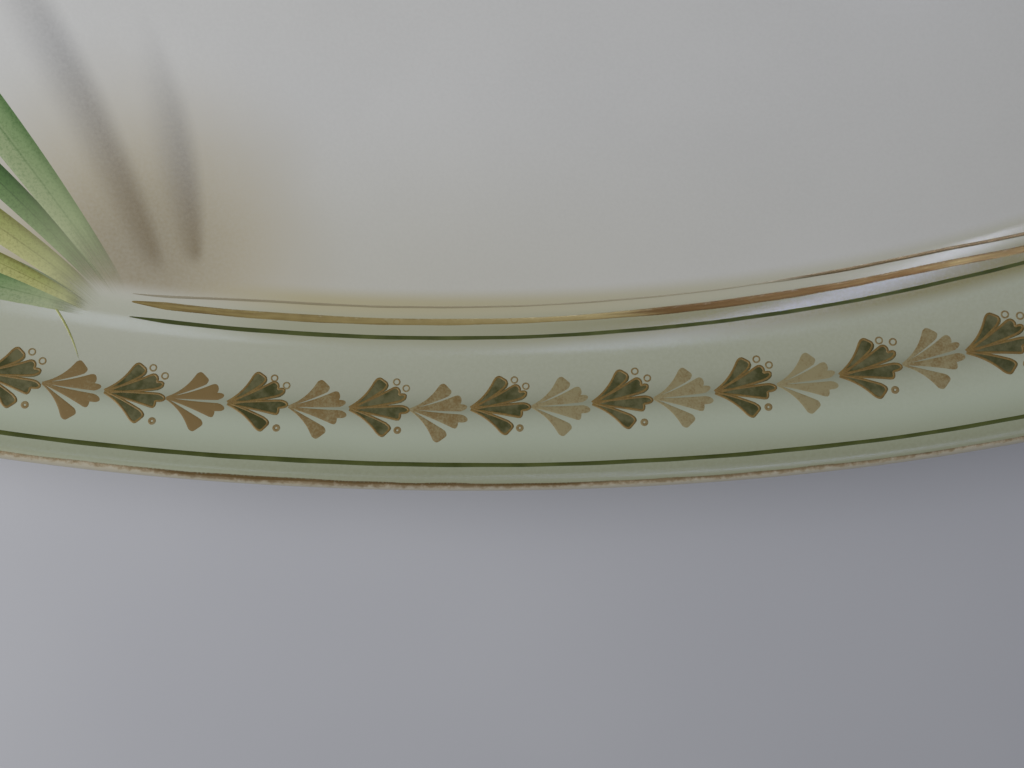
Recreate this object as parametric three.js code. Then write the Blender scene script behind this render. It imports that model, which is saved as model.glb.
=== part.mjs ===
// Oval porcelain tray: a glazed body with a coved rim on a foot ring, and the green and gilt bands
// fired onto it. Millimetres, +Z up, length along X, origin under the middle of the foot ring.
import * as THREE from 'three';
import { LoftGeometry } from 'three/addons/geometries/LoftGeometry.js';

// Oval plan: sizes over the lip, and the width of the rim that lies around the flat well
const LENGTH = 305;
const WIDTH = 160;
const SIDE_RIM = 20;
const END_RIM = 28;

// Section through floor, cove and rim
const RIM_RISE = 11; // from the well's floor to the top of the lip
const COVE_RADIUS = 10;
const WALL = 4;
const LIP_THICKNESS = 2.6;

// Foot ring
const FOOT_HEIGHT = 2.6;
const FOOT_TREAD = 2.4; // the flat that it stands on
const FOOT_FLARE = 0.9; // how far each flank leans out between the tread and the root
const FOOT_INSET = 1.5; // from below the well's edge in to the outer root

// Fired bands: a middle is so far out from the well's edge, or in from the lip
const LAYER = 0.12;
const SEAT_GAP = 0.02; // clearance between the glaze and a band
const HAIRLINE_OUT = 0.8;
const HAIRLINE_WIDTH = 0.3;
const GILT_BAND_OUT = 2.5;
const GILT_BAND_WIDTH = 1;
const WELL_LINE_OUT = 4.3;
const LIP_LINE_IN = 3.2;
const GREEN_WIDTH = 0.6;

// The lines around the well stop short here, to leave room for a painted leaf spray
const BREAK_MIDDLE = 251.25; // degrees round from +X
const BREAK_ARC = 7.5;

// Facets: steps around the oval, steps round the lip, and rings on the plain rim as shares of it
const AROUND = 96;
const LIP_STEPS = 6;
const LIP_GILT_FROM = 2; // first lip step that is gilded, below the edge
const LIP_GILT_TO = 5; // last one, on top
const RIM_RINGS = [0.75, 0.5, 0.25, 0.1];

const FLOOR = FOOT_HEIGHT + WALL; // height of the well's floor
const WELL_LENGTH = LENGTH - 2 * END_RIM;
const WELL_WIDTH = WIDTH - 2 * SIDE_RIM;
const LIP_RADIUS = LIP_THICKNESS / 2;

const porcelain = new THREE.MeshStandardMaterial({ color: 0xe3e5dc, roughness: 0.12, metalness: 0 });
const green = new THREE.MeshStandardMaterial({ color: 0x4a5228, roughness: 0.25, metalness: 0 });
const gilt = new THREE.MeshStandardMaterial({ color: 0xa9854a, roughness: 0.35, metalness: 0.9 });

// Bands on top of the rim, from the lip inwards
const lines = [
  { name: 'green_lip_line', middle: (rim) => rim - LIP_LINE_IN, width: GREEN_WIDTH, material: green },
  { name: 'green_well_line', middle: () => WELL_LINE_OUT, width: GREEN_WIDTH, material: green, broken: true },
  { name: 'gilt_well_band', middle: () => GILT_BAND_OUT, width: GILT_BAND_WIDTH, material: gilt, broken: true },
  { name: 'gilt_hairline', middle: () => HAIRLINE_OUT, width: HAIRLINE_WIDTH, material: gilt, broken: true },
];

// The plan at one step round: a point on the well's oval edge, the way out square to that edge,
// and the width of the rim there, which grows from the sides to the ends
function planAt(step) {
  const angle = (2 * Math.PI * step) / AROUND;
  const edge = new THREE.Vector2(WELL_LENGTH / 2 * Math.cos(angle), WELL_WIDTH / 2 * Math.sin(angle));
  const out = new THREE.Vector2(edge.x / WELL_LENGTH ** 2, edge.y / WELL_WIDTH ** 2).normalize();
  const rim = THREE.MathUtils.lerp(SIDE_RIM, END_RIM, Math.cos(angle) ** 2);
  return { edge, out, rim };
}

// Slope of the straight rim: the tangent that passes under the cove's circle and over the lip's
function rimSlope(rim) {
  const across = rim - LIP_RADIUS;
  const up = RIM_RISE - LIP_RADIUS - COVE_RADIUS;
  return Math.atan2(up, across) + Math.asin((COVE_RADIUS + LIP_RADIUS) / Math.hypot(across, up));
}

// A station of the section: its distance out from the well's edge, its height over the well's
// floor, and the direction that the surface faces there, as an angle from outwards to upwards
function topStation(rim, out) {
  const slope = rimSlope(rim);
  const coveEnd = COVE_RADIUS * Math.sin(slope);
  const tilt = out < coveEnd ? Math.asin(out / COVE_RADIUS) : slope;
  const straight = Math.max(out - coveEnd, 0) * Math.tan(slope);
  return { out, up: COVE_RADIUS * (1 - Math.cos(tilt)) + straight, facing: tilt + Math.PI / 2 };
}

// Stations round the lip, from its lower tangent point to its upper one
function lipStations(rim) {
  return Array.from({ length: LIP_STEPS + 1 }, (_, i) => {
    const facing = rimSlope(rim) + Math.PI * (i / LIP_STEPS - 0.5);
    const out = rim - LIP_RADIUS + LIP_RADIUS * Math.cos(facing);
    return { out, up: RIM_RISE - LIP_RADIUS + LIP_RADIUS * Math.sin(facing), facing };
  });
}

// Stations of the foot ring and of the wall's back, which runs parallel to the cove
function underStations(rim) {
  const tread = -FOOT_INSET - FOOT_FLARE;
  const foot = [
    { out: tread - FOOT_TREAD - FOOT_FLARE, up: -WALL },
    { out: tread - FOOT_TREAD, up: -FLOOR },
    { out: tread, up: -FLOOR },
    { out: -FOOT_INSET, up: -WALL },
  ];
  const back = [0, 0.5, 1].map((share) => {
    const turn = share * rimSlope(rim);
    const radius = COVE_RADIUS + WALL;
    return { out: radius * Math.sin(turn), up: COVE_RADIUS - radius * Math.cos(turn) };
  });
  return [...foot, ...back];
}

// Both edges of a line on the rim, outer one first
function lineStations({ middle, width }, rim) {
  return [middle(rim) + width / 2, middle(rim) - width / 2].map((out) => topStation(rim, out));
}

// Stations of the rim's top, from the lip down to the well's edge, with both edges of each line
function topStations(rim) {
  const [lipLine, ...wellLines] = lines.map((line) => lineStations(line, rim));
  const plainFrom = wellLines[0][0].out;
  const plainTo = lipLine[1].out;
  const plain = RIM_RINGS.map((share) => topStation(rim, THREE.MathUtils.lerp(plainFrom, plainTo, share)));
  return [...lipLine, ...plain, ...wellLines.flat(), topStation(rim, 0)];
}

// A station's place in space, raised so far off the surface
function place({ edge, out }, station, raised = 0) {
  const reach = station.out + (raised && raised * Math.cos(station.facing));
  const up = station.up + (raised && raised * Math.sin(station.facing));
  return new THREE.Vector3(edge.x + out.x * reach, edge.y + out.y * reach, FLOOR + up);
}

// The body is lofted through oval rings: out from the middle of the underside, over the foot and
// the back, round the lip, and in over rim and cove to the middle of the floor
function bodyGeometry() {
  const sections = Array.from({ length: AROUND }, (_, step) => {
    const plan = planAt(step);
    const stations = [...underStations(plan.rim), ...lipStations(plan.rim), ...topStations(plan.rim)];
    return stations.map((station) => place(plan, station));
  });
  const rings = sections[0].map((_, i) => sections.map((section) => section[i]));
  const middle = (height) => sections.map(() => new THREE.Vector3(0, 0, height));
  return new LoftGeometry([middle(FOOT_HEIGHT), ...rings, middle(FLOOR)]);
}

// A band is lofted round the oval through thin sections that follow the body's own stations
function bandGeometry(stationsAt, broken) {
  const toStep = (degrees) => Math.round((degrees / 360) * AROUND);
  const first = broken ? toStep(BREAK_MIDDLE + BREAK_ARC / 2) : 0;
  const last = broken ? toStep(BREAK_MIDDLE - BREAK_ARC / 2) + AROUND : AROUND;
  const sections = Array.from({ length: last - first + 1 }, (_, i) => {
    const plan = planAt((first + i) % AROUND);
    const stations = stationsAt(plan.rim);
    const seat = stations.map((station) => place(plan, station, SEAT_GAP));
    const face = stations.map((station) => place(plan, station, SEAT_GAP + LAYER));
    return [...seat, ...face.reverse()];
  });
  return new LoftGeometry(sections, { capStart: broken, capEnd: broken });
}

const tray = new THREE.Group();

function add(name, geometry, material) {
  const mesh = new THREE.Mesh(geometry, material);
  mesh.name = name;
  tray.add(mesh);
}

const giltLip = (rim) => lipStations(rim).slice(LIP_GILT_FROM, LIP_GILT_TO + 1);

add('porcelain_body', bodyGeometry(), porcelain);
add('gilt_lip_band', bandGeometry(giltLip, false), gilt);
for (const line of lines) {
  add(line.name, bandGeometry((rim) => lineStations(line, rim), Boolean(line.broken)), line.material);
}

export default tray;
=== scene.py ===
"""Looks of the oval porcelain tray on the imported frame: glaze, fired lines, garland, leaf spray."""
import math

import bpy
import numpy as np
from mathutils import Matrix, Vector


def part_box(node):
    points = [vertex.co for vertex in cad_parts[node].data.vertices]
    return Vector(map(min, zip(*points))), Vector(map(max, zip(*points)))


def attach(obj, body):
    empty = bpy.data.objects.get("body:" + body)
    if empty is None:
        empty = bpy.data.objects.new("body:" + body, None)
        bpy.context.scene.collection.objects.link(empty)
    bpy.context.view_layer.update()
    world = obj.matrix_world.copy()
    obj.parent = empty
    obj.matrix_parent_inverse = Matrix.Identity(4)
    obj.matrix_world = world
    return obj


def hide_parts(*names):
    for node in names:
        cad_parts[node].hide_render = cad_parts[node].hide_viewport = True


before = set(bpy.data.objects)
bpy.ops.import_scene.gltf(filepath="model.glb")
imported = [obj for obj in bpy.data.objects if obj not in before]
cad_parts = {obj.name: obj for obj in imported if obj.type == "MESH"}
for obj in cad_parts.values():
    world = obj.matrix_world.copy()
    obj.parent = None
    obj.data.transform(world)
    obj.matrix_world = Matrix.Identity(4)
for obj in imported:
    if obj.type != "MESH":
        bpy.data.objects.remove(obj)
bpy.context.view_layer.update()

# Sizes are in millimetres, and meshes are written in metres
MM = 0.001
FULL_TURN = 2 * math.pi
low, high = (np.array(corner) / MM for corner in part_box("porcelain_body"))
LENGTH, WIDTH, HEIGHT = high - low

# Body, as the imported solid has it
SIDE_RIM = 20.0
END_RIM = 28.0
RIM_RISE = 11.0
COVE_RADIUS = 10.0
WALL = 4.0
LIP_RADIUS = 1.3
FOOT_TREAD = 2.4
FOOT_FLARE = 0.9
FOOT_INSET = 1.5
FLOOR = HEIGHT - RIM_RISE
FOOT_HEIGHT = FLOOR - WALL
WELL = np.array([LENGTH / 2 - END_RIM, WIDTH / 2 - SIDE_RIM])

# Thick glaze rounds the foot's corners, and softens the cove's ends by so much to each side
FOOT_ROUND = 0.7
EASE = 3.0
EASE_SHIFTS = 17  # sections that are averaged for it

# Grids: columns round the oval, and rows on each part of the section
BODY_COLUMNS = 640
WELL_ROWS = 15
COVE_ROWS = 44
RIM_ROWS = 20
LIP_ROWS = 17
WHITE_LIP_ROWS = 4  # rows of the lip, at its lower side, that are as white as the back
BACK_ROWS = 9
CORNER_ROWS = 6
RECESS_ROWS = 8
RECESS_LEDGE = 3.0  # level strip of the recess beside the foot
LINE_COLUMNS = 1400
LINE_ROWS = 7
GILT_LIP_ROWS = 11
FAR = 60.0  # mark of the well's middle, far from any edge

# Films of enamel and gold: their height over the glaze, and how far their edges lie under it
FILM = 0.03
SUNK = 0.008
LEAF_SUNK = 0.004  # the same under the thinner leaf paint
BUMP_DEPTH = 0.02  # of the unevenness in glaze, enamel and gold

# Fired lines: a middle is so far out from the well's edge, or in from the lip
HAIRLINE_OUT = 0.8
HAIRLINE_WIDTH = 0.36
HAIRLINE_SWELL = 0.8
GILT_BAND_OUT = 2.5
GILT_BAND_WIDTH = 0.88
GILT_BAND_SWELL = 0.3
WELL_LINE_OUT = 4.3
LIP_LINE_IN = 3.2
GREEN_WIDTH = 0.45
TAPER = 160  # an end thins out over one part in so many of a line's run
THINNEST = 0.02  # share of the width that is left at its tip

# Gap beside the leaf spray: where the lines start again, and where each one stops
GAP_END = math.radians(255)
GREEN_STOP = math.radians(249.6)
GILT_BAND_STOP = math.radians(248.2)
HAIRLINE_STOP = math.radians(247.7)

# Course of the hand-drawn lines: a slow drift, and bends with their middle and reach in degrees and
# their size
DRIFT_WAVES = 3
LINE_DRIFT_START = math.radians(249)
GREEN_DRIFT = 0.2
GILT_DRIFT = 0.35
GREEN_BENDS = ((307, 5.5, 0.3),)
GILT_BAND_BENDS = ((307, 5.5, 0.95),)
HAIRLINE_BENDS = ((307, 5.5, 1.0), (255, 4.5, 0.8))

# Unsteadiness of the brush: in a line's width, as a share, in its course, and in both edges on the
# lip, as angles
WIDTH_WANDER = 0.2
COURSE_WANDER = 0.06
LIP_FROM_WANDER = 0.1
LIP_TO_WANDER = 0.2

# Brush strokes round the oval: their number, and where one starts
BAND_STROKES = (6, math.radians(-80))
HAIR_STROKES = (3, math.radians(-71))
LIP_STROKES = (8, math.radians(-104))
LIP_LOAD = 0.45  # how full the brush is on the lip, at most
STROKE_RISE = 0.013  # share of a turn in which a stroke gets full

# Gilding on the lip: from and to, as angles from the rim's slope
LIP_GILT_FROM = math.radians(62)
LIP_GILT_TO = math.radians(-40)

# Middle of the tan ground beside the leaf spray
SPRAY_MIDDLE = (-31.0, -55.0, FLOOR)

# Garland: pairs of a green and a gold palmette, whose sizes go with a power of the rim's width
GARLAND_PAIRS = 45
GARLAND_SHARE = 0.545  # of the plain rim, from the well line out to the garland's axis
GARLAND_DRIFT = 0.75
GARLAND_DRIFT_START = math.radians(237)
GARLAND_START = math.radians(-92.6)
GARLAND_STEPS = 8001
PALMETTE_RATE = 0.5
GOLD_PLACE = 0.49  # share of a pair from the green palmette to the gold one
GOLD_SWING = math.radians(8)
SWING_SPREAD = 0.035  # spread of all palmettes' own turns, as an angle
PAINTED_SHADE_REACH = 1.2  # reach of the painted shade along the garland

# Petals: width at the base as a share of the full one, on green and on gold, and how much more gold
# ones flare
BASE = 0.16
FAN_BASE = 0.1
FAN_FLARE = 0.25
FULL_AT = 0.85  # share of a petal's way at which it has its full width

# Gold outlines, and how far each print is off its place along and across the garland
OUTLINE_IN = 0.2
OUTLINE_WIDTH = 0.31
FILL_SHIFT = (-0.1, -0.08)
OUTLINE_SHIFT = (-0.15, 0)
FAN_SHIFT = (-0.1, 0)

# How far printed gold is rubbed: outlines and rings evenly, gold palmettes with waves round the oval
LINE_RUB = 0.4
FAN_RUB = 0.45
FAN_RUB_SWING = 0.35
FAN_RUB_WAVES = 6
FAN_RUB_SPREAD = 0.1

# Two rings and a dot beside a green palmette: places along and across, radius of the hole, and
# outer radius
RING_SPOTS = np.array([(5.1, 3.3), (6.45, 2.55), (5.7, -2.65)])
RING_HOLES = np.array([0.25, 0.25, 0.08])
RING_RADIUS = 0.48
RING_SPREAD = 0.12  # how far they are off their places

# Photograph's view: frame and focal length in pixels, tilt off the tray's axis, roll and aim
FRAME_WIDTH = 1024
FOCAL_PIXELS = 1600
SENSOR = 36.0
VIEW_TILT = math.radians(20)
VIEW_ROLL = 0.0207
VIEW_DISTANCE = 191.1
VIEW_AIM = (12.84, -70.3, FLOOR)

# Light: pale surroundings, a warm lamp from the left, and strips high over the tray
SURROUND_COLOUR = (0.95, 0.97, 1.0, 1.0)
SURROUND_STRENGTH = 0.21
KEY_PLACE = (-300, -20, 300)
KEY_TARGET = (10, -60, FLOOR)
KEY_SIZE = (220, 400)
KEY_POWER = 1.6
KEY_COLOUR = (1.0, 0.985, 0.95)
STRIP_HEIGHT = 2000
TABLE_REACH = 12000  # of the floor, to each side

rng = np.random.default_rng(7)


# Surfaces

def plan(turn):
    """Well edge, way out and rim width round the oval: an ellipse, its unit normal, and a width
    that grows with the cosine squared of the turn from the sides to the ends."""
    cosine, sine = np.cos(turn), np.sin(turn)
    edge = np.stack([WELL[0] * cosine, WELL[1] * sine], -1)
    way = np.stack([WELL[1] * cosine, WELL[0] * sine], -1)
    way = way / np.linalg.norm(way, axis=-1, keepdims=True)
    return edge, way, SIDE_RIM + (END_RIM - SIDE_RIM) * cosine ** 2


def rim_slope(rim):
    """Slope of the common tangent under the cove's circle and over the lip's circle."""
    across = rim - LIP_RADIUS
    up = RIM_RISE - LIP_RADIUS - COVE_RADIUS
    return np.arctan2(up, across) + np.arcsin((COVE_RADIUS + LIP_RADIUS) / np.hypot(across, up))


def top_profile(out, rim):
    """Height over the well's floor and tilt at a distance out: flat floor, then the cove's arc,
    then the tangent, averaged over a short width, which softens both ends of the cove as thick
    glaze does."""
    slope = rim_slope(rim)
    cove_end = COVE_RADIUS * np.sin(slope)
    sections = []
    for shift in np.linspace(-EASE, EASE, EASE_SHIFTS):
        tilt = np.minimum(np.arcsin(np.clip((out + shift) / COVE_RADIUS, 0, 1)), slope)
        straight = np.maximum(out + shift - cove_end, 0) * np.tan(slope)
        sections.append((COVE_RADIUS * (1 - np.cos(tilt)) + straight, tilt))
    return np.mean(sections, 0)


def raise_from(edge, way, out, up, facing, lift):
    """Points at a distance out and up in the upright plane through each edge point, lifted the way
    that they face."""
    reach = out + lift * np.cos(facing)
    height = FLOOR + up + lift * np.sin(facing)
    return np.concatenate([edge + way * reach[..., None], height[..., None]], -1)


def on_top(turn, out, lift):
    """Points on the top of the tray at a turn and a distance out from the well's edge, lifted off
    the glaze."""
    edge, way, rim = plan(turn)
    up, tilt = top_profile(out, rim)
    return raise_from(edge, way, out, up, tilt + math.pi / 2, lift)


def round_lip(edge, way, rim, facing, lift):
    """Distances out and points on the lip's circle, at the angles that they face, lifted off the
    glaze."""
    out = rim - LIP_RADIUS + LIP_RADIUS * np.cos(facing)
    up = RIM_RISE - LIP_RADIUS + LIP_RADIUS * np.sin(facing)
    return out, raise_from(edge, way, out, up, facing, lift)


def rounded(points, radius, steps):
    """A section's corners rounded off: each inner corner becomes a parabola that touches both its
    sides."""
    rows = [points[0]]
    share = np.linspace(0, 1, steps)[:, None, None]
    for before, corner, after in zip(points, points[1:], points[2:]):
        back, on = before - corner, after - corner
        start = corner + back * np.minimum(radius / np.linalg.norm(back, axis=-1, keepdims=True), 0.5)
        end = corner + on * np.minimum(radius / np.linalg.norm(on, axis=-1, keepdims=True), 0.5)
        rows.extend((1 - share) ** 2 * start + 2 * share * (1 - share) * corner + share ** 2 * end)
    return np.stack([*rows, points[-1]])


def rear_section(slope):
    """Distances out and up on the back and the foot ring: an arc about the cove's centre, from the
    rim's slope down to the well's edge, and then the foot's corners, rounded."""
    turn = slope * np.linspace(1, 0, BACK_ROWS)[:, None]
    radius = COVE_RADIUS + WALL
    back = np.stack([radius * np.sin(turn), COVE_RADIUS - radius * np.cos(turn)], -1)
    tread = -FOOT_INSET - FOOT_FLARE
    root = tread - FOOT_TREAD - FOOT_FLARE
    corners = [(-FOOT_INSET, -WALL), (tread, -FLOOR), (tread - FOOT_TREAD, -FLOOR)]
    corners += [(root, -WALL), (root - RECESS_LEDGE, -WALL)]
    foot = [np.broadcast_to(np.array(corner), back[-1].shape) for corner in corners]
    return np.concatenate([back[:-1], rounded(np.stack([back[-1], *foot]), FOOT_ROUND, CORNER_ROWS)])


def spread(first, last, count):
    """Rows spaced evenly from one array to another, without the last."""
    share = np.linspace(0, 1, count, endpoint=False)[:, None]
    return first + (last - first) * share


# Meshes

def build(name, points, uv=None, closed=False, poles=None, marks=None):
    """One mesh of patches. points is (patches, rows, columns, 3) in millimetres, with rows and
    columns that turn right-handed about the outward normal. closed joins the last column to the
    first, and poles close the first and last rows with a point each. uv has one column more where
    it is closed."""
    patches, rows, columns = points.shape[:3]
    index = np.arange(patches * rows * columns).reshape(patches, rows, columns)
    if closed:
        index = np.concatenate([index, index[:, :, :1]], 2)
    corners = (np.s_[:, :-1, :-1], np.s_[:, 1:, :-1], np.s_[:, 1:, 1:], np.s_[:, :-1, 1:])
    quads = np.stack([index[c] for c in corners], -1).reshape(-1, 4)
    vertices = points.reshape(-1, 3) * MM
    faces = quads.tolist()
    if poles is not None:
        first, last = len(vertices), len(vertices) + 1
        vertices = np.concatenate([vertices, np.array(poles) * MM])
        inner, outer = index[0, 0], index[0, -1]
        faces += [(first, a, b) for a, b in zip(inner[:-1].tolist(), inner[1:].tolist())]
        faces += [(last, b, a) for a, b in zip(outer[:-1].tolist(), outer[1:].tolist())]
    mesh = bpy.data.meshes.new(name)
    mesh.from_pydata(vertices.tolist(), [], faces)
    mesh.polygons.foreach_set("use_smooth", np.ones(len(faces), bool))
    if uv is not None:
        layer = mesh.uv_layers.new(name="UVMap")
        layer.data.foreach_set("uv", np.stack([uv[c] for c in corners], -2).astype(np.float32).ravel())
    for mark, values in (marks or {}).items():
        attribute = mesh.attributes.new(mark, "FLOAT", "POINT")
        attribute.data.foreach_set("value", values.astype(np.float32).ravel())
    mesh.update()
    piece = bpy.data.objects.new(name, mesh)
    bpy.context.scene.collection.objects.link(piece)
    return piece


def finish(piece, material, slot, *nodes):
    """Gives a piece its material, rides it on the tray and hides what it stands for. slot is not used."""
    piece.data.materials.append(material)
    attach(piece, "root")
    if nodes:
        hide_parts(*nodes)


# Materials

def tone(code):
    """A colour written as six sRGB hex digits, as linear RGBA."""
    value = np.array([int(code[i:i + 2], 16) for i in (0, 2, 4)]) / 255
    linear = np.where(value <= 0.04045, value / 12.92, ((value + 0.055) / 1.055) ** 2.4)
    return (*linear.tolist(), 1.0)


class Wire:
    """A socket in a material's nodes. Operators add Math nodes, and add() makes any other node."""

    def __init__(self, tree, socket=None):
        self.tree = tree
        self.socket = socket

    def add(self, kind, settings=None, inputs=None, output=0):
        """A new node's output: its settings are set first, then the values or links of its
        inputs."""
        node = self.tree.nodes.new(kind)
        for key, value in (settings or {}).items():
            setattr(node, key, value)
        for key, value in (inputs or {}).items():
            if isinstance(value, Wire):
                self.tree.links.new(value.socket, node.inputs[key])
            else:
                node.inputs[key].default_value = value
        return Wire(self.tree, node.outputs[output] if node.outputs else None)

    def math(self, operation, *values):
        """A Math node on values or links."""
        return self.add("ShaderNodeMath", {"operation": operation}, dict(enumerate(values)))

    def __add__(self, other):
        return self.math("ADD", self, other)

    def __sub__(self, other):
        return self.math("SUBTRACT", self, other)

    def __rsub__(self, other):
        return self.math("SUBTRACT", other, self)

    def __mul__(self, other):
        return self.math("MULTIPLY", self, other)

    def __truediv__(self, other):
        return self.math("DIVIDE", self, other)

    def __abs__(self):
        return self.math("ABSOLUTE", self)

    __radd__ = __add__
    __rmul__ = __mul__

    def step(self, start, end):
        """Rises smoothly from 0 at start to 1 at end."""
        inputs = {"Value": self, "From Min": start, "From Max": end}
        return self.add("ShaderNodeMapRange", {"interpolation_type": "SMOOTHSTEP"}, inputs)

    def blend(self, first, second):
        """A colour from the first to the second as this value goes from 0 to 1."""
        settings = {"data_type": "RGBA", "clamp_factor": True}
        return self.add("ShaderNodeMix", settings, {0: self, 6: first, 7: second}, 2)

    def noise(self, scale, detail=3.0, rough=0.55):
        """Noise about 0.5 on this vector."""
        inputs = {"Vector": self, "Scale": scale, "Detail": detail, "Roughness": rough}
        return self.add("ShaderNodeTexNoise", None, inputs)

    def stretch(self, x, y, z):
        """This vector scaled along its axes."""
        return self.add("ShaderNodeMapping", None, {"Vector": self, "Scale": (x, y, z)})

    def distance(self, place):
        """How far this vector is from a place."""
        return self.add("ShaderNodeVectorMath", {"operation": "DISTANCE"}, {0: self, 1: place}, "Value")

    def coordinate(self, kind):
        """The surface's own coordinates of one kind."""
        return self.add("ShaderNodeTexCoord", None, None, kind)

    def mark(self, name):
        """A number that the mesh carries at its points."""
        return self.add("ShaderNodeAttribute", {"attribute_name": name}, None, "Fac")

    def part(self, axis):
        """One axis of this vector."""
        return self.add("ShaderNodeSeparateXYZ", None, {"Vector": self}, axis)


def new_material(name):
    """An empty material, with a start for its nodes."""
    material = bpy.data.materials.new(name)
    material.use_nodes = True
    material.node_tree.nodes.clear()
    return material, Wire(material.node_tree)


def close_material(start, colour, roughness, bump=None, strength=0.1, **others):
    """Feeds a glossy shader with colour, roughness, a bump where there is one, and others by their
    sockets' names."""
    inputs = {"Base Color": colour, "Roughness": roughness}
    inputs.update({key.replace("_", " "): value for key, value in others.items()})
    if bump is not None:
        settings = {"Height": bump, "Strength": strength, "Distance": BUMP_DEPTH * MM}
        inputs["Normal"] = start.add("ShaderNodeBump", None, settings)
    shader = start.add("ShaderNodeBsdfPrincipled", None, inputs)
    start.add("ShaderNodeOutputMaterial", None, {"Surface": shader})


def porcelain_glaze():
    """White glaze with a sprayed ground: green towards the lip and the cove, tan beside the leaf spray,
    a painted shade along the garland, painted light that makes the rim and the lip's wash paler near
    the leaf spray, a white back and a bare foot. Steps are in millimetres: out from the well's edge, in
    from the lip, or away from the spray's middle."""
    material, start = new_material("porcelain_glaze")
    place = start.coordinate("Object")
    out, inset, top = start.mark("out"), start.mark("inset"), start.mark("top")
    reach = place.distance(tuple(value * MM for value in SPRAY_MIDDLE)) / MM
    cloud = place.noise(45, 4)
    grain = place.noise(2600, 2)
    drift = (cloud - 0.5) * 3.0
    speckle = 0.8 + grain * 0.4
    beside = reach.step(5.0, 22.0)
    far = reach.step(30.0, 90.0)

    well = (cloud * 0.6 + grain * 0.4).step(0.3, 0.7).blend(tone("BEBEBC"), tone("C3C3C1"))
    warm = (out + drift).step(-26.0, 1.0) * 0.4 * (1 - reach.step(20.0, 90.0) * 0.7)
    well = warm.blend(well, tone("A4A087"))
    tan = (1 - (reach + drift * 2).step(2.0, 27.0)) * (0.75 + grain * 0.5) * (1 - out.step(0.0, 2.6))
    sprayed = reach.step(0.0, 16.0).blend(tone("8F8670"), tone("A59A7E"))
    well = (tan * 0.85).blend(well, sprayed)
    verge = out.step(-1.5, 0.6) * (1 - out.step(1.8, 3.4)) * (0.85 - far * 0.25) * beside
    well = verge.blend(well, far.blend(tone("A9A17F"), tone("A7A58A")))

    rim = grain.step(0.2, 0.8).blend(tone("A0A38F"), tone("A5A895"))
    # painted light: the rim is paler near the leaf spray, as if lit more strongly from the left
    rim = ((1 - reach.step(15.0, 75.0)) * 0.45).blend(rim, tone("B1B3A4"))
    # painted shade: the ground darkens towards the garland's axis
    rim = start.mark("painted_shade").blend(rim, tone("82846F"))
    ground = (out.step(0.8, 3.6) * (0.7 + beside * 0.3)).blend(well, rim)
    cove_wash = out.step(1.4, 3.2) * (1 - (out + drift * 0.3).step(4.4, 6.4))
    cove_wash = cove_wash * (0.35 + far * 0.65) * beside
    ground = (cove_wash * speckle).blend(ground, tone("827C4F"))
    ground = ((1 - (inset + drift).step(4.0, 11.0)) * 0.6).blend(ground, tone("ACB7A5"))
    lip_wash = (1 - (inset + drift * 0.5).step(1.5, 7.0)) * speckle
    # painted light: the lip's green wash is weaker, so paler, near the leaf spray
    lip_wash = lip_wash * (0.72 + reach.step(18.0, 42.0) * 0.28)
    ground = lip_wash.blend(ground, tone("898C73"))
    ground = top.blend(tone("C6C6C1"), ground)

    bare = 1 - place.part("Z").step(0.3 * MM, 0.6 * MM)
    biscuit = place.noise(900, 5).step(0.25, 0.75).blend(tone("A79F90"), tone("BDB6A8"))
    gloss = 0.1 + place.noise(120, 2) * 0.03 + (1 - inset.step(1.2, 2.4)) * 0.25 + bare * 0.4
    close_material(start, bare.blend(ground, biscuit), gloss, place.noise(380, 4), 0.14, IOR=1.5)
    return material


def green_enamel():
    """Dark olive-green brushed enamel: thicker and thinner along the stroke, with paler thin
    places."""
    material, start = new_material("green_enamel")
    place = start.coordinate("Object")
    colour = place.noise(260, 5).step(0.3, 0.75).blend(tone("3B4219"), tone("50562A"))
    close_material(start, colour, 0.3 + place.noise(700, 2) * 0.12, Specular_IOR_Level=0.15)
    return material


def worn_gilding(name, gold, shade, bare, worn_from, lean=0.0, cover=1.0, inner=0.0, dry=0.0):
    """Rubbed gilding: darker where the brush was full and, by inner, along its inner edge, uneven
    at its edges, thinner by cover where the brush ran dry, and worn to the ground in spots, by lean
    more towards its outer edge and by dry more where the brush ran dry."""
    material, start = new_material(name)
    place = start.coordinate("Object")
    stroke = start.coordinate("UV")
    load = start.mark("load")
    streaks = stroke.stretch(120, 3.5, 1).noise(1.0, 4) - 0.5
    rub = stroke.stretch(900, 2.6, 1).noise(1.0, 5, 0.65)
    bristles = place.noise(4200, 3, 0.6) - 0.5
    across = stroke.part("Y")
    edge = abs(across - 0.5) * 2
    full = load + streaks * 1.2 + edge * 0.15 + (1 - across.step(0.12, 0.26)) * (0.2 + load) * inner
    film = full.step(0.15, 0.9).blend(tone(gold), tone(shade))
    worn = (rub + across * lean - load * dry).step(worn_from, worn_from + 0.4)
    uneven = (1.08 - edge + bristles * 0.6).step(0.0, 0.35)
    thin = cover + (load + streaks * 0.6) * (1 - cover)
    close_material(start, worn.blend(film, tone(bare)), 0.16 + place.noise(800, 3) * 0.14,
                   Metallic=(1 - worn) * 0.65, Alpha=uneven * thin)
    return material


# Pieces

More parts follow.
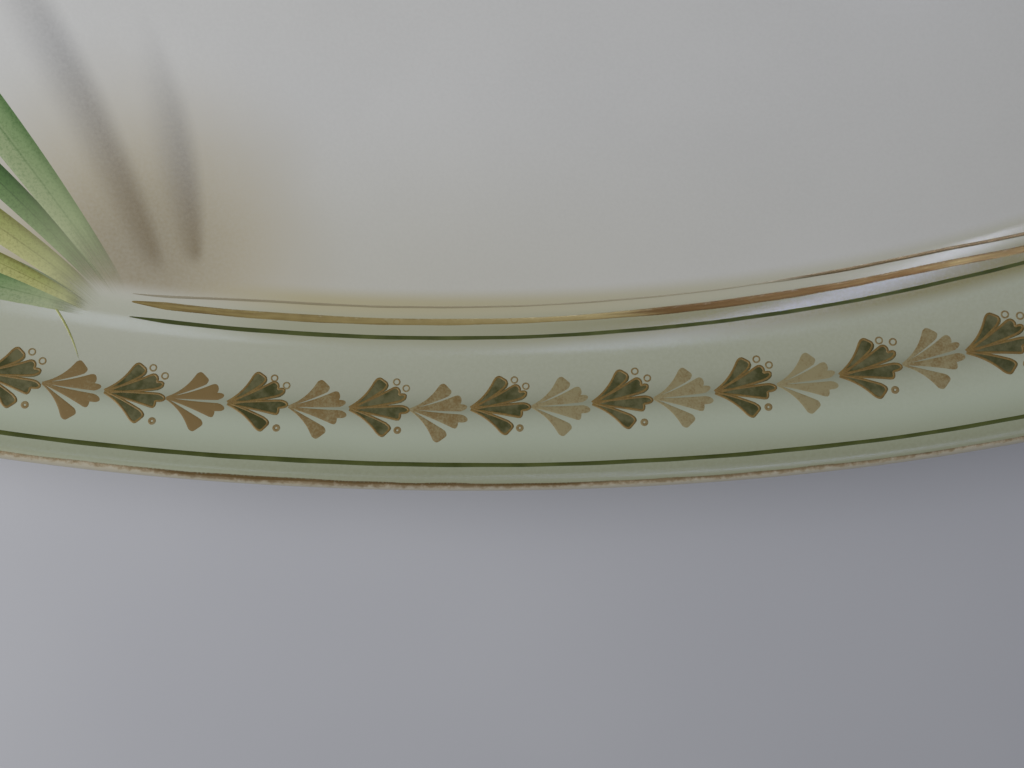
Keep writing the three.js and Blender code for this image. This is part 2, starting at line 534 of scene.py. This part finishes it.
def porcelain(material):
    """Body: rows run from the middle of the well out over cove, rim and lip, and back in under the
    foot to the middle of the underside; columns run round the oval."""
    turn = np.linspace(0, FULL_TURN, BODY_COLUMNS, endpoint=False)
    edge, way, rim = plan(turn)
    slope = rim_slope(rim)
    floor_share = np.linspace(0, 1, WELL_ROWS)[1:-1, None]
    flat = (edge - way * EASE) * floor_share[..., None]
    well_rows = np.concatenate([flat, np.full((*flat.shape[:2], 1), FLOOR)], -1)
    cove_end = COVE_RADIUS * np.sin(slope) + EASE
    lip_top = rim - LIP_RADIUS * (1 + np.sin(slope))
    cove_out = spread(0 * rim - EASE, cove_end, COVE_ROWS)
    top_out = np.concatenate([cove_out, spread(cove_end, lip_top, RIM_ROWS)])
    up, tilt = top_profile(top_out, rim)
    top_rows = raise_from(edge, way, top_out, up, tilt, 0)
    facing = slope + np.linspace(math.pi / 2, -math.pi / 2, LIP_ROWS)[:, None]
    lip_out, lip_rows = round_lip(edge, way, rim, facing, 0)
    rear_out, rear_up = np.moveaxis(rear_section(slope), -1, 0)
    rear_rows = raise_from(edge, way, rear_out, rear_up, 0 * rear_out, 0)
    recess = rear_rows[-1] * np.array([1, 1, 0]) * np.linspace(1, 0, RECESS_ROWS)[1:-1, None, None]
    recess = recess + np.array([0, 0, FOOT_HEIGHT])
    points = np.concatenate([well_rows, top_rows, lip_rows, rear_rows, recess])

    well_out = (floor_share - 1) * (WELL[1] - EASE) - EASE + 0 * rim
    under = np.zeros((len(rear_rows) + len(recess), BODY_COLUMNS))
    out = np.concatenate([well_out, top_out, lip_out, under])
    top = np.ones_like(out)
    top[-len(under) - WHITE_LIP_ROWS:] = 0
    # painted shade along the garland, on the top only
    painted_shade = garland_painted_shade(turn + 0 * out, out) * top
    marks = {"out": out, "inset": rim - out, "top": top, "painted_shade": painted_shade}
    at_poles = {"out": (-FAR, 0), "inset": (FAR, 0), "top": (1, 0), "painted_shade": (0, 0)}
    marks = {key: np.append(values, at_poles[key]) for key, values in marks.items()}
    poles = [(0, 0, FLOOR), (0, 0, FOOT_HEIGHT)]
    piece = build("porcelain", points[None], closed=True, poles=poles, marks=marks)
    finish(piece, material, "porcelain", "porcelain_body")


def wander(turn, size):
    """Unsteadiness of a hand on the banding wheel: a few waves that close round the oval, each with
    its number, its size and its start."""
    waves = np.array([[3, 0.5, 0.4], [7, 0.3, 2.0], [17, 0.25, 4.4], [41, 0.18, 1.1], [97, 0.12, 5.0]])
    return size * (waves[:, 1, None] * np.sin(waves[:, :1] * turn + waves[:, 2:])).sum(0)


def brush_load(turn, strokes, first):
    """How full the brush is round the oval: each stroke fills quickly and runs dry before the
    next."""
    share = (turn - first) * strokes / FULL_TURN % 1
    return (1 - share) * np.minimum(share / (STROKE_RISE * strokes), 1)


def lip_line(turn, rim):
    """Middle of the line inside the lip, so far in from it."""
    return rim - LIP_LINE_IN


def well_line(out, drift, bends):
    """Middle of a line round the well: so far out from the well's edge, with a hand's slow drift, a
    sine wave that closes round the oval, and bends, each a bell curve."""
    def middle(turn, rim):
        found = out - drift * np.sin(DRIFT_WAVES * turn + LINE_DRIFT_START)
        for place, reach, size in bends:
            away = (turn - math.radians(place) + math.pi) % FULL_TURN - math.pi
            found = found + size * np.exp(-(away / math.radians(reach)) ** 2)
        return found
    return middle


def fired_line(name, middle, width, material, slot, node, stop=None, strokes=BAND_STROKES, swell=0.0):
    """A brushed line on the rim: rows run across its crowned film from its inner edge, columns run
    along it. It swells where the brush is full, and one that stops thins out to nothing at both
    sides of the leaf spray."""
    broken = stop is not None
    if broken:
        turn = np.linspace(GAP_END, stop + FULL_TURN, LINE_COLUMNS)
        run = np.arange(LINE_COLUMNS) / (LINE_COLUMNS - 1)
        brush = np.clip(np.minimum(run, 1 - run) * TAPER, THINNEST, 1) ** 0.65
    else:
        turn = np.linspace(0, FULL_TURN, LINE_COLUMNS, endpoint=False)
        brush = np.ones(LINE_COLUMNS)
    rim = plan(turn)[2]
    across = np.linspace(-1, 1, LINE_ROWS)[:, None]
    load = brush_load(turn, *strokes)
    half = width / 2 * brush * (1 + swell * (load - 0.5) + wander(turn, WIDTH_WANDER))
    out = middle(turn, rim) + wander(turn + 1.3, COURSE_WANDER) + across * half
    lift = FILM * brush * (1 - across ** 4) - SUNK
    points = on_top(np.broadcast_to(turn, out.shape), out, lift)
    long_way = np.linspace(0, 1, LINE_COLUMNS + (not broken))
    uv = np.stack(np.broadcast_arrays(long_way, (across + 1) / 2), -1)
    marks = {"load": np.broadcast_to(load, out.shape)}
    piece = build(name, points[None], uv[None], closed=not broken, marks=marks)
    finish(piece, material, slot, node)


def lip_gilding(material):
    """Gilding round the lip: rows run over the lip's arc from above, columns run round the oval."""
    turn = np.linspace(0, FULL_TURN, LINE_COLUMNS, endpoint=False)
    edge, way, rim = plan(turn)
    across = np.linspace(-1, 1, GILT_LIP_ROWS)[:, None]
    start = LIP_GILT_FROM + wander(turn, LIP_FROM_WANDER)
    end = LIP_GILT_TO + wander(turn + 2, LIP_TO_WANDER)
    facing = rim_slope(rim) + start + (end - start) * (across + 1) / 2
    out, points = round_lip(edge, way, rim, facing, FILM * (1 - across ** 4) - SUNK)
    uv = np.stack(np.broadcast_arrays(np.linspace(0, 1, LINE_COLUMNS + 1), (across + 1) / 2), -1)
    load = LIP_LOAD * brush_load(np.broadcast_to(turn, out.shape), *LIP_STROKES)
    piece = build("lip_gilding", points[None], uv[None], closed=True, marks={"load": load})
    finish(piece, material, "gilt", "gilt_lip_band")


# Garland

def garland_axis(turn):
    """Distance out of the garland's axis: a share of the plain rim, with the drift of a border laid
    by hand, a sine wave that closes round the oval."""
    plain = plan(turn)[2] - LIP_LINE_IN - WELL_LINE_OUT
    drift = GARLAND_DRIFT * np.sin(DRIFT_WAVES * turn + GARLAND_DRIFT_START)
    return WELL_LINE_OUT + GARLAND_SHARE * plain - drift


def garland_path():
    """Turns round the oval and the pace along the garland's axis there: the way along the axis
    divided by a power of the rim's width."""
    turn = GARLAND_START + np.linspace(0, FULL_TURN, GARLAND_STEPS)
    points = on_top(turn, garland_axis(turn), 0)
    steps = np.linalg.norm(np.diff(points, axis=0), axis=1)
    rim = plan(turn)[2]
    steps = steps / ((rim[1:] + rim[:-1]) / (2 * SIDE_RIM)) ** PALMETTE_RATE
    return turn, np.concatenate([[0], np.cumsum(steps)])


path_turn, path_pace = garland_path()
PAIR = path_pace[-1] / GARLAND_PAIRS


def lay(along, across, lift):
    """Wraps a flat motif onto the rim: along is the pace on the garland's axis, across is the way
    on the slope from the axis towards the well. A motif has its own size where the rim is
    narrowest, and grows with a power of the rim's width."""
    turn = np.interp(along % path_pace[-1], path_pace, path_turn)
    rim = plan(turn)[2]
    size = (rim / SIDE_RIM) ** PALMETTE_RATE
    out = garland_axis(turn) - across * size * np.cos(rim_slope(rim))
    return on_top(turn, out, lift)


def garland_painted_shade(turn, out):
    """Painted shade along the garland: the ground is darkest on the garland's axis, and the shade falls
    off with the exponential of the way from it."""
    return np.exp(-np.abs(out - garland_axis(turn)) / PAINTED_SHADE_REACH)


def bump(v, centre, half, power):
    """A round rise from 0 to 1 and back, so wide on both sides of its centre: a power of a
    parabola."""
    return np.clip(1 - ((v - centre) / half) ** 2, 0, None) ** power


def club_end(v):
    """Length of a club petal across its width: a blunt end with round corners."""
    return 1 - 0.07 * np.abs(v) ** 6


def heart_end(v):
    """Length of a leaf petal across its width: a round lobe outside, a shallow notch, and a longer
    lobe inside."""
    return 0.86 + np.maximum(0.07 * bump(v, -0.4, 0.6, 0.5), 0.14 * bump(v, 0.58, 0.44, 0.5))


def beak_end(v):
    """Length of a leaf petal across its width: a short lobe outside and a round beak inside."""
    return 0.83 + np.maximum(0.03 * bump(v, -0.45, 0.55, 0.5), 0.16 * bump(v, 0.5, 0.52, 0.5))


# Petals of a palmette: heading and bend in degrees, length, half width, flare, end, and the side of
# its beak
PETALS = (
    (28.0, 27.0, 5.4, 0.92, 1.75, club_end, 1),
    (14.0, 9.0, 6.9, 1.08, 1.2, heart_end, -1),
    (-3.0, -3.0, 7.2, 1.04, 1.2, beak_end, 1),
    (-21.0, -22.0, 5.5, 0.94, 1.75, club_end, 1),
)


def petal(heading, bend, length, half, flare, end, side, base=BASE, rows=12, columns=33):
    """A petal on a flat grid: its axis bends steadily as it leaves the base, its width grows with a
    power of the way out, and its end is shaped by the end's function of the place across."""
    u = np.linspace(0, 1, rows)[:, None]
    v = np.linspace(-1, 1, columns)[None, :]
    way = u * end(v * side)
    angle = np.radians(heading + bend * way)
    chord = np.radians(heading + bend * way / 2)
    width = half * (base + (1 - base) * np.minimum(way / FULL_AT, 1) ** flare) * v
    along = length * way * np.cos(chord) - width * np.sin(angle)
    across = length * way * np.sin(chord) + width * np.cos(angle)
    return np.stack([along, across], -1)


def outline(grid, rows=80, columns=5):
    """A line of even width on a petal's edge: rows run round the edge, columns run across the
    line."""
    edge = np.concatenate([grid[:, 0], grid[-1, 1:-1], grid[::-1, -1]])
    way = np.concatenate([[0], np.cumsum(np.linalg.norm(np.diff(edge, axis=0), axis=1))])
    even = np.linspace(0, way[-1], rows)
    edge = np.stack([np.interp(even, way, edge[:, i]) for i in (0, 1)], -1)
    along = np.gradient(edge, axis=0)
    along /= np.linalg.norm(along, axis=1, keepdims=True)
    inward = np.stack([-along[:, 1], along[:, 0]], -1)
    across = OUTLINE_WIDTH * np.linspace(0.5, -0.5, columns)
    return edge[:, None] + inward[:, None] * across[:, None]


def crown(shape):
    """Height of a film over a grid: level in the middle, and falling to its edges with a high
    power."""
    u = np.linspace(-1, 1, shape[0])[:, None]
    v = np.linspace(-1, 1, shape[1])[None, :]
    return (1 - np.abs(u) ** 14) * (1 - np.abs(v) ** 6)


def palmettes(grids, starts, swing, film, shift):
    """Lays copies of flat petals at each start along the garland, each copy turned a little by its
    swing."""
    cosine, sine = np.cos(swing)[:, None, None], np.sin(swing)[:, None, None]
    patches = []
    for grid in grids:
        along = grid[..., 0] * cosine - grid[..., 1] * sine + shift[0]
        across = grid[..., 0] * sine + grid[..., 1] * cosine + shift[1]
        lift = np.broadcast_to(film * crown(grid.shape) - SUNK, along.shape)
        patches.append(lay(starts[:, None, None] + along, across, lift))
    return np.concatenate(patches)


def ring_dots(starts, rows=5, columns=24):
    """Two small rings and a dot beside each green palmette, each a little off its place: rows run
    across the ring's line, columns run round it."""
    hole = RING_HOLES[:, None, None]
    around = np.linspace(0, FULL_TURN, columns, endpoint=False)
    across = np.linspace(-1, 1, rows)[:, None]
    radius = hole + (RING_RADIUS - hole) * (across + 1) / 2
    lift = FILM * (1 - across ** 4) + 0 * around - SUNK
    centre = RING_SPOTS + rng.normal(0, RING_SPREAD, (len(starts), len(RING_SPOTS), 2))
    centre[..., 0] += starts[:, None]
    centre = centre[:, :, None, None]
    along = (centre[..., 0] + radius * np.cos(around)).reshape(-1, *lift.shape)
    aside = (centre[..., 1] + radius * np.sin(around)).reshape(-1, *lift.shape)
    return lay(along, aside, np.broadcast_to(lift, along.shape))


def petal_green():
    """Olive enamel of the palmettes, thin enough in places for the ground to show."""
    material, start = new_material("petal_green")
    thin = start.coordinate("Object").noise(420, 5, 0.65)
    colour = thin.step(0.34, 0.66).blend(tone("3D3E1B"), tone("636041"))
    close_material(start, colour, 0.3 + thin * 0.15, thin, 0.2, Specular_IOR_Level=0.25)
    return material


def matt_gold(name, deep, pale):
    """Matt printed gold, rubbed paler where its mark says so and in blotches and flecks."""
    material, start = new_material(name)
    place = start.coordinate("Object")
    blotches = (place.noise(900, 4) - 0.5) * 1.1
    flecks = (place.noise(4200, 2) - 0.5) * 1.1
    colour = (start.mark("rub") + blotches + flecks).step(0.1, 0.95).blend(tone(deep), tone(pale))
    roughness = 0.42 + place.noise(1200, 2) * 0.16
    close_material(start, colour, roughness, place.noise(1800, 2), 0.2, Metallic=0.1)
    return material


def garland():
    """Green palmettes with gold outlines and rings, each followed by a palmette all in gold, which
    is rubbed more on some stretches of the rim than on others, by a sine wave."""
    greens = np.arange(GARLAND_PAIRS) * PAIR
    golds = greens + GOLD_PLACE * PAIR
    shapes = [petal(*numbers) for numbers in PETALS]
    cores = [petal(heading, bend, length - OUTLINE_IN, half - OUTLINE_IN, *rest)
             for heading, bend, length, half, *rest in PETALS]
    slim = [petal(heading, bend, length, half, flare + FAN_FLARE, *rest, FAN_BASE)
            for heading, bend, length, half, flare, *rest in PETALS]
    swing = rng.normal(0, SWING_SPREAD, (2, GARLAND_PAIRS))
    gold_turn = np.interp(golds, path_pace, path_turn)
    rub = FAN_RUB - FAN_RUB_SWING * np.sin(FAN_RUB_WAVES * gold_turn)
    rub = rub + rng.normal(0, FAN_RUB_SPREAD, GARLAND_PAIRS)
    fills = palmettes(shapes, greens, swing[0], FILM, FILL_SHIFT)
    lines = palmettes([outline(core) for core in cores], greens, swing[0], 2 * FILM, OUTLINE_SHIFT)
    fans = palmettes(slim, golds, swing[1] - GOLD_SWING, FILM, FAN_SHIFT)
    rings = ring_dots(greens)
    fan_rub = np.broadcast_to(np.tile(rub, len(slim))[:, None, None], fans.shape[:3])
    line_rub, ring_rub = (np.full(points.shape[:3], LINE_RUB) for points in (lines, rings))
    outline_gold = matt_gold("outline_gold", "6C5523", "826A33")
    fan_gold = matt_gold("fan_gold", "755F32", "8C825D")
    finish(build("palmette_green", fills), petal_green(), "green_enamel")
    finish(build("palmette_outlines", lines, marks={"rub": line_rub}), outline_gold, "gilt")
    finish(build("palmette_gold", fans, marks={"rub": fan_rub}), fan_gold, "gilt")
    finish(build("palmette_rings", rings, closed=True, marks={"rub": ring_rub}), fan_gold, "gilt")


# Leaf spray

def drape(x, y, lift, steps=6):
    """Points on the top of the tray over places in plan: Newton's steps find the turn of the well's
    edge nearest to each place, which gives the distance out, less than nothing inside the well."""
    turn = np.arctan2(y / WELL[1], x / WELL[0])
    stretch = WELL[0] ** 2 - WELL[1] ** 2
    for _ in range(steps):
        cosine, sine = np.cos(turn), np.sin(turn)
        pull = stretch * cosine * sine - x * WELL[0] * sine + y * WELL[1] * cosine
        rate = stretch * (2 * cosine ** 2 - 1) - x * WELL[0] * cosine - y * WELL[1] * sine
        turn = turn - pull / rate
    edge, way, rim = plan(turn)
    flat = np.stack([x, y], -1)
    outside = (x / WELL[0]) ** 2 + (y / WELL[1]) ** 2 > 1
    out = np.where(outside, 1, -1) * np.linalg.norm(flat - edge, axis=-1)
    up, tilt = top_profile(out, rim)
    facing = tilt + math.pi / 2
    spot = flat + way * (lift * np.cos(facing))[..., None]
    return np.concatenate([spot, (FLOOR + up + lift * np.sin(facing))[..., None]], -1)


def blade(x, y, heading, bend, length, half, lift, rows=90, columns=13):
    """A long leaf: its axis leaves a base at a heading and bends steadily, its width swells from
    the base and runs out to a point. Rows run along it, columns run across it to the left."""
    u = np.linspace(0, 1, rows)[:, None]
    v = np.linspace(-1, 1, columns)[None, :]
    angle = np.radians(heading + bend * u)
    step = length / (rows - 1)
    along = np.stack([np.cos(angle), np.sin(angle)], -1)[:, 0]
    axis = np.array([x, y]) + np.concatenate([np.zeros((1, 2)), np.cumsum(along[:-1] * step, 0)])
    width = half * (0.3 + 0.7 * (1 - (1 - u) ** 3)) * (1 - u ** 3) ** 0.8
    aside = width * v
    points_x = axis[:, :1] - aside * np.sin(angle)
    points_y = axis[:, 1:] + aside * np.cos(angle)
    return drape(points_x, points_y, lift * (1 - v ** 6) - LEAF_SUNK + 0 * points_x)


# Blades by paint: base in plan, heading and bend in degrees, length, half width, height of the film
SHADE_BLADES = (
    (-28.5, -58.2, 109, 14, 60, 5.0, 0.012),
    (-24.5, -56.8, 95, 8, 32, 4.2, 0.012),
)
DARK_BLADES = (
    (-34.6, -60.0, 129, 20, 62, 2.3, 0.02),
    (-37.4, -60.8, 152, 30, 44, 1.5, 0.02),
)
GREEN_BLADES = (
    (-33.0, -60.2, 121, 12, 78, 3.2, 0.03),
    (-37.0, -61.8, 163, 16, 36, 2.0, 0.03),
)
YELLOW_BLADES = (
    (-35.4, -61.2, 140, 14, 56, 2.7, 0.04),
    (-36.6, -61.6, 153, 4, 26, 1.4, 0.045),
    (-37.4, -67.0, 112, 30, 11, 0.16, 0.02),
)


def blade_piece(name, blades, material):
    """The blades of one paint as one piece, with the way along and across each as its texture
    place."""
    points = np.stack([blade(*numbers) for numbers in blades])
    u, v = np.linspace(0, 1, points.shape[1]), np.linspace(0, 1, points.shape[2])
    uv = np.broadcast_to(np.stack(np.meshgrid(u, v, indexing="ij"), -1), (*points.shape[:3], 2))
    finish(build(name, points, uv), material, "green_enamel")


def leaf_paint(name, dark, middle, pale):
    """Leaf colour brushed along the blade: dark along its right side and its middle vein, pale to
    the left, stippled, and thinned to nothing at its base."""
    material, start = new_material(name)
    place = start.coordinate("Object")
    stroke = start.coordinate("UV")
    along, across = stroke.part("X"), stroke.part("Y")
    stipple = place.noise(3000, 3, 0.75)
    streaks = stroke.stretch(2.5, 9, 1).noise(1.0, 4) - 0.5
    body = (across + streaks * 0.9).step(0.1, 0.9).blend(tone(middle), tone(pale))
    vein = abs(across - 0.52) * 2
    shade = (1 - across.step(0.02, 0.3)) * 0.75 + (1 - vein.step(0.0, 0.09)) * 0.5
    shade = shade + stipple.step(0.42, 0.7) * 0.5
    thin = (1 - along.step(0.02, 0.32)) * 0.6
    colour = thin.blend(shade.blend(body, tone(dark)), tone("AEB08F"))
    cover = (along + streaks * 0.08).step(0.0, 0.14)
    close_material(start, colour, 0.22, Alpha=cover, IOR=1.5)
    return material


def shade_paint():
    """Soft grey-brown of leaves sprayed in the background: firmer on the right side, lost to the
    left and to both ends."""
    material, start = new_material("shade_paint")
    place = start.coordinate("Object")
    stroke = start.coordinate("UV")
    along, across = stroke.part("X"), stroke.part("Y")
    spray = place.noise(2400, 2, 0.7) - 0.5
    ends = along.step(0.0, 0.07) * (1 - along.step(0.12, 1.0))
    sides = across.step(0.0, 0.4) * (1 - across.step(0.3, 1.0))
    cover = ends * sides * (0.36 + spray * 0.3)
    colour = along.step(0.05, 0.5).blend(tone("8B7C60"), tone("8E8D90"))
    close_material(start, colour, 0.2, Alpha=cover, IOR=1.5)
    return material


def leaf_spray():
    """Plain long blades that rise from the gap in the lines and lean over the well."""
    blade_piece("shade_leaves", SHADE_BLADES, shade_paint())
    blade_piece("dark_leaves", DARK_BLADES, leaf_paint("leaf_dark", "2C4A20", "41632F", "5E7A48"))
    blade_piece("green_leaves", GREEN_BLADES, leaf_paint("leaf_green", "4B6A3A", "718A5A", "8A9870"))
    blade_piece("yellow_leaves", YELLOW_BLADES, leaf_paint("leaf_yellow", "6B6A34", "8B9150", "A3A468"))


# Scene

def pose(piece, side, upward, back, place):
    """Puts a lamp or the camera at a place in millimetres, with its own axes along three
    directions."""
    rows = np.stack([side, upward, back, np.array(place) * MM], 1)
    piece.matrix_world = Matrix(np.vstack([rows, (0, 0, 0, 1)]).tolist())
    bpy.context.scene.collection.objects.link(piece)


def softbox(name, place, target, size, power, colour, upward=(0, 1, 0)):
    """A rectangular lamp that looks at a target, with its sides in millimetres and its long one
    upward."""
    lamp = bpy.data.lights.new(name, "AREA")
    lamp.shape = "RECTANGLE"
    lamp.size, lamp.size_y = size[0] * MM, size[1] * MM
    lamp.energy = power
    lamp.color = colour
    place, target = np.array(place, float), np.array(target, float)
    back = (place - target) / np.linalg.norm(place - target)
    side = np.cross(upward, back)
    side /= np.linalg.norm(side)
    pose(bpy.data.objects.new(name, lamp), side, np.cross(back, side), back, place)


def strip(name, start, end, width, power, colour):
    """A narrow lamp that faces straight down, from one end to the other."""
    start, end = np.array((*start, STRIP_HEIGHT), float), np.array((*end, STRIP_HEIGHT), float)
    middle = (start + end) / 2
    size = (width, np.linalg.norm(end - start))
    softbox(name, middle, middle - (0, 0, 1), size, power, colour, end - start)


def camera():
    """The photograph's view: over the tray's axis by the tilt, aimed at a point of the well's
    floor, and rolled."""
    lens = bpy.data.cameras.new("camera")
    lens.sensor_width = SENSOR
    lens.lens = SENSOR * FOCAL_PIXELS / FRAME_WIDTH
    lens.clip_start = 0.01
    back = np.array([0, math.sin(VIEW_TILT), math.cos(VIEW_TILT)])
    upward = np.array([0, math.cos(VIEW_TILT), -math.sin(VIEW_TILT)])
    across = np.cross(upward, back)
    right = across * math.cos(VIEW_ROLL) + upward * math.sin(VIEW_ROLL)
    upward = upward * math.cos(VIEW_ROLL) - across * math.sin(VIEW_ROLL)
    piece = bpy.data.objects.new("camera", lens)
    pose(piece, right, upward, back, np.array(VIEW_AIM) + back * VIEW_DISTANCE)
    bpy.context.scene.camera = piece


def table():
    """A plain pale floor under the foot ring."""
    material, start = new_material("table")
    place = start.coordinate("Object")
    colour = place.noise(9, 3).step(0.3, 0.7).blend(tone("A8A9AE"), tone("AEAFB3"))
    close_material(start, colour, 0.55)
    reach = np.linspace(-TABLE_REACH, TABLE_REACH, 3)
    points = np.stack([*np.meshgrid(reach, reach, indexing="ij"), np.zeros((3, 3))], -1)
    piece = build("table", points[None])
    piece.data.materials.append(material)


# Strips of cool light: ends in plan in millimetres, width, power in watts, colour
STRIPS = (
    ("strip_left", (-396, 1240), (-305, 1740), 110, 0.72, (0.67, 0.78, 1.0)),
    ("strip_far", (-77, 1882), (84, 1134), 90, 1.22, (0.6, 0.66, 1.0)),
    ("strip_middle", (84, 1134), (302, 348), 70, 2.9, (0.57, 0.64, 1.0)),
    ("strip_near", (302, 348), (474, -62), 50, 1.1, (0.7, 0.74, 1.0)),
    ("strip_end", (474, -62), (538, -165), 50, 0.3, (0.7, 0.74, 1.0)),
)


def light():
    """Even pale surroundings, a lamp from the left, and the strips, which the cove mirrors as
    streaks."""
    world = bpy.data.worlds.new("studio")
    bpy.context.scene.world = world
    world.use_nodes = True
    surround = world.node_tree.nodes["Background"]
    surround.inputs["Color"].default_value = SURROUND_COLOUR
    surround.inputs["Strength"].default_value = SURROUND_STRENGTH
    softbox("key", KEY_PLACE, KEY_TARGET, KEY_SIZE, KEY_POWER, KEY_COLOUR)
    for numbers in STRIPS:
        strip(*numbers)


camera()
light()
table()

glaze = porcelain_glaze()
line_green = green_enamel()
band_gilt = worn_gilding("band_gilt", "AC9961", "684C1F", "9C977A", 0.45, lean=-0.25)
hair_gilt = worn_gilding("hair_gilt", "BDB08D", "7F6C49", "A09C86", 0.65, cover=0.3)
lip_gilt = worn_gilding("lip_gilt", "B39F7C", "806740", "ABA593", 0.5, lean=1.3, inner=0.8, dry=0.7)

porcelain(glaze)
lip_gilding(lip_gilt)
green_course = well_line(WELL_LINE_OUT, GREEN_DRIFT, GREEN_BENDS)
band_course = well_line(GILT_BAND_OUT, GILT_DRIFT, GILT_BAND_BENDS)
hair_course = well_line(HAIRLINE_OUT, GILT_DRIFT, HAIRLINE_BENDS)
fired_line("lip_line", lip_line, GREEN_WIDTH, line_green, "green_enamel", "green_lip_line")
fired_line("well_line", green_course, GREEN_WIDTH, line_green, "green_enamel", "green_well_line",
           GREEN_STOP)
fired_line("well_gilding", band_course, GILT_BAND_WIDTH, band_gilt, "gilt", "gilt_well_band",
           GILT_BAND_STOP, swell=GILT_BAND_SWELL)
fired_line("hairline", hair_course, HAIRLINE_WIDTH, hair_gilt, "gilt", "gilt_hairline",
           HAIRLINE_STOP, HAIR_STROKES, HAIRLINE_SWELL)
garland()
leaf_spray()

bpy.context.scene.view_settings.view_transform = "Standard"
